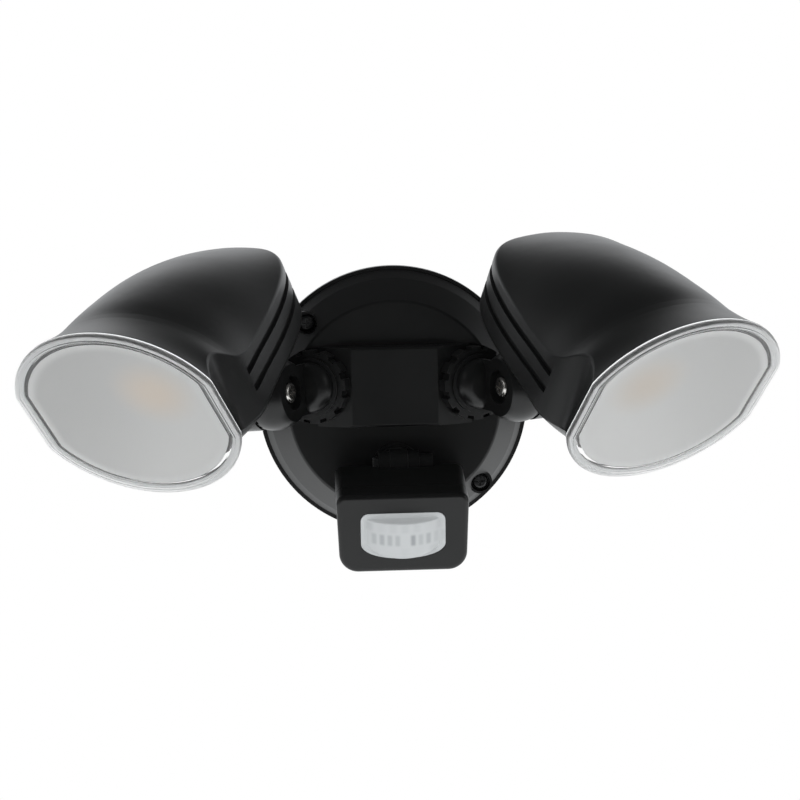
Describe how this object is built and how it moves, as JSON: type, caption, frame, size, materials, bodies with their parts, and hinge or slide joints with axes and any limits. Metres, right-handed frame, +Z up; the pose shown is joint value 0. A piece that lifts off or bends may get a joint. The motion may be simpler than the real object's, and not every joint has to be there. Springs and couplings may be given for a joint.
{
  "type": "motion sensor security light",
  "caption": "Wall-mounted motion sensor security light: hooded LED spot heads on swivel arms and a hinged sensor below, on a round cover.",
  "frame": {"origin": "centre of the cover's back rim, on the wall", "axes": "+Z up along the wall, -Y out from the wall towards the viewer, +X to the viewer's right"},
  "size_m": [0.3196, 0.1543, 0.1452],
  "materials": {
    "black_housing": "satin moulded black",
    "black_trim": "moulded black",
    "clear_lens": "clear polycarbonate",
    "frosted": "frosted translucent",
    "white_tray": "white reflective",
    "board_white": "white solder mask",
    "board_green": "green board",
    "lamp_yellow": "phosphor",
    "heat_aluminium": "plain",
    "zinc_plate": "zinc plated",
    "stainless": "bright",
    "black_steel": "black coated",
    "rubber_black": "soft",
    "silicone_pale": "pale silicone",
    "window_white": "milky ribbed",
    "terminal": "cream",
    "detector_can": "can",
    "component": "mixed"
  },
  "bodies": {
    "base": {"base_cover": "black_housing", "wall_gasket": "rubber_black", "wall_plate": "zinc_plate", "cable_grommet": "rubber_black", "cover_screws": "black_steel", "driver_board": "board_green", "driver_parts": "component", "terminal_block": "terminal"},
    "left_arm_body": {"left_arm": "black_housing", "left_arm_seal": "rubber_black", "left_arm_nut": "black_trim", "left_pivot_screw": "stainless"},
    "left_ring_body": {"left_lock_ring": "black_trim"},
    "left_head": {"left_head_housing": "black_housing", "left_pivot_nut": "stainless", "left_lens": "clear_lens", "left_lens_gasket": "silicone_pale", "left_diffuser": "frosted", "left_reflector": "white_tray", "left_led_board": "board_white", "left_led_chip": "lamp_yellow", "left_heat_plate": "heat_aluminium", "left_heat_plate_screws": "stainless"},
    "right_arm_body": {"right_arm": "black_housing", "right_arm_seal": "rubber_black", "right_arm_nut": "black_trim", "right_pivot_screw": "stainless"},
    "right_ring_body": {"right_lock_ring": "black_trim"},
    "right_head": {"right_head_housing": "black_housing", "right_pivot_nut": "stainless", "right_lens": "clear_lens", "right_lens_gasket": "silicone_pale", "right_diffuser": "frosted", "right_reflector": "white_tray", "right_led_board": "board_white", "right_led_chip": "lamp_yellow", "right_heat_plate": "heat_aluminium", "right_heat_plate_screws": "stainless"},
    "sensor_stem_body": {"sensor_stem": "black_trim", "sensor_stem_nut": "black_trim"},
    "sensor_case": {"sensor_rear_shell": "black_housing", "sensor_front_cover": "black_housing", "window_lens": "window_white", "sensor_board": "board_green", "motion_detector": "detector_can", "sensor_hinge_screw": "black_trim", "sensor_hinge_nut": "black_steel", "sensor_case_screws": "stainless"},
    "time_dial_body": {"time_dial": "black_trim"},
    "light_dial_body": {"light_dial": "black_trim"},
    "range_dial_body": {"range_dial": "black_trim"}
  },
  "joints": [
    {"name": "left_arm_swivel", "type": "hinge", "parent": "base", "child": "left_arm_body", "pos_m": [-0.04565, -0.0466, 0.0102], "axis": [-0.4226, -0.9063, 0], "range_deg": [-40, 8]},
    {"name": "left_ring_turn", "type": "hinge", "parent": "base", "child": "left_ring_body", "pos_m": [-0.04565, -0.0466, 0.0102], "axis": [-0.4226, -0.9063, 0], "range_deg": [0, 90]},
    {"name": "left_head_tilt", "type": "hinge", "parent": "left_arm_body", "child": "left_head", "pos_m": [-0.04565, -0.0466, 0.0102], "axis": [0.9021, -0.4207, 0.0958], "range_deg": [-4, 45]},
    {"name": "right_arm_swivel", "type": "hinge", "parent": "base", "child": "right_arm_body", "pos_m": [0.04565, -0.0466, 0.0102], "axis": [0.4226, -0.9063, 0], "range_deg": [-10, 40]},
    {"name": "right_ring_turn", "type": "hinge", "parent": "base", "child": "right_ring_body", "pos_m": [0.04565, -0.0466, 0.0102], "axis": [0.4226, -0.9063, 0], "range_deg": [0, 90]},
    {"name": "right_head_tilt", "type": "hinge", "parent": "right_arm_body", "child": "right_head", "pos_m": [0.04565, -0.0466, 0.0102], "axis": [0.9062, 0.4226, 0.0175], "range_deg": [-4, 45]},
    {"name": "sensor_swivel", "type": "hinge", "parent": "base", "child": "sensor_stem_body", "pos_m": [0, -0.0244, -0.0284], "axis": [0, -1, 0], "range_deg": [-25, 25]},
    {"name": "sensor_tilt", "type": "hinge", "parent": "sensor_stem_body", "child": "sensor_case", "pos_m": [0.0009, -0.0336, -0.0252], "axis": [1, 0, 0], "range_deg": [-30, 12]},
    {"name": "time_dial_turn", "type": "hinge", "parent": "sensor_case", "child": "time_dial_body", "pos_m": [-0.0131, -0.04896, -0.06427], "axis": [0, 0.165, -0.9863], "range_deg": [-135, 135]},
    {"name": "light_dial_turn", "type": "hinge", "parent": "sensor_case", "child": "light_dial_body", "pos_m": [0.0009, -0.04896, -0.06427], "axis": [0, 0.165, -0.9863], "range_deg": [-135, 135]},
    {"name": "range_dial_turn", "type": "hinge", "parent": "sensor_case", "child": "range_dial_body", "pos_m": [0.0149, -0.04896, -0.06427], "axis": [0, 0.165, -0.9863], "range_deg": [-135, 135]}
  ]
}
